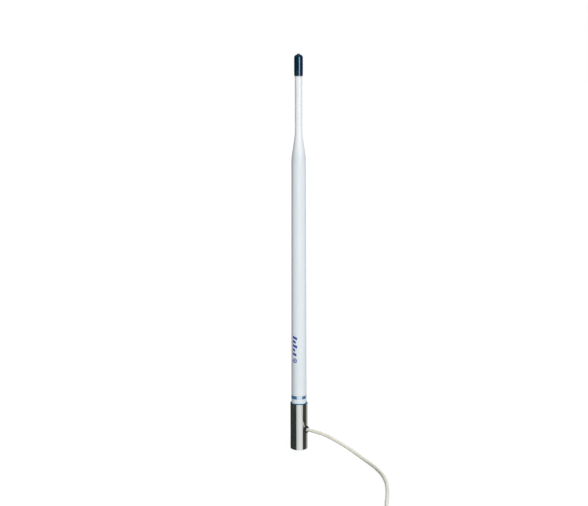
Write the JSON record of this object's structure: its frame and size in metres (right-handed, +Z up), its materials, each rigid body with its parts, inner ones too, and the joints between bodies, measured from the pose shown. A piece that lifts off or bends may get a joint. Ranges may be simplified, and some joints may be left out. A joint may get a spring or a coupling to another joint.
{
  "type": "omnidirectional antenna",
  "caption": "White tapered mast antenna in a polished threaded ferrule, with a dark end cap and a side-exit coax that ends in a coaxial plug.",
  "frame": {"origin": "centre of the ferrule's base face", "axes": "+Z up the mast; -Y is the front; the coax leaves the ferrule towards +X and the front, 34 degrees from +X"},
  "size_m": [0.1567, 0.4942, 0.6737],
  "materials": {
    "black_hook_tape": "hook-and-loop strap",
    "black_plastic": "moulded",
    "black_rubber": "moulded rubber",
    "black_shrink": "shrunk tubing",
    "blue_sealant": "thin blue sealant bead",
    "blue_tape": "blue film",
    "brass": "drawn brass",
    "ceramic": "dipped ceramic",
    "copper": "bare copper",
    "cream_pvc": "semi-matt cream PVC jacket",
    "epoxy": "cured adhesive",
    "gold_plate": "gold-plated brass",
    "green_laminate": "solder-masked glass laminate",
    "natural_nylon": "turned nylon",
    "navy_vinyl": "glossy dip-moulded navy vinyl",
    "nickel_plate": "nickel-plated brass",
    "polished_steel": "mirror polished stainless steel",
    "red_silicone": "silicone rubber",
    "solder": "bright solder",
    "spring_steel": "spring wire",
    "tinned_braid": "tinned copper braid",
    "white_foam": "closed-cell foam",
    "white_gelcoat": "glossy cool white polyester over fibreglass",
    "white_polyethylene": "foam polyethylene",
    "white_ptfe": "turned PTFE"
  },
  "bodies": {
    "mast": {"ferrule": "polished_steel", "radome": "white_gelcoat", "end_cap": "navy_vinyl", "blue_band": "blue_tape", "mouth_seal": "blue_sealant", "epoxy_bond": "epoxy", "base_plug": "black_plastic", "cable_grommet": "black_rubber", "coax_jacket_end": "cream_pvc", "coax_braid": "tinned_braid", "coax_dielectric": "white_polyethylene", "coax_core": "copper", "braid_crimp": "brass", "ground_strap": "copper", "feed_board": "green_laminate", "feed_capacitor": "ceramic", "matching_coil": "copper", "ground_sleeve": "brass", "solder_joints": "solder", "lower_radiator": "brass", "middle_radiator": "brass", "upper_radiator": "brass", "lower_coil_former": "natural_nylon", "upper_coil_former": "natural_nylon", "lower_phasing_coil": "copper", "upper_phasing_coil": "copper", "coil_sleeves": "black_shrink", "foam_spacers": "white_foam", "tip_spacers": "white_foam", "top_cushion": "white_foam", "coax_cable": "cream_pvc", "cable_tail": "cream_pvc", "cable_coil": "cream_pvc", "cable_tie": "black_hook_tape", "plug_crimp_sleeve": "nickel_plate", "plug_body": "nickel_plate", "plug_retaining_ring": "spring_steel", "plug_gasket": "red_silicone", "plug_insulator": "white_ptfe", "plug_centre_pin": "gold_plate"},
    "plug_nut": {"coupling_nut": "nickel_plate"}
  },
  "joints": [
    {"name": "nut_spin", "type": "hinge", "parent": "mast", "child": "plug_nut", "pos_m": [-0.00646, -0.46866, 0.0103], "axis": [-0.9986, -0.0523, 0], "continuous": true}
  ]
}
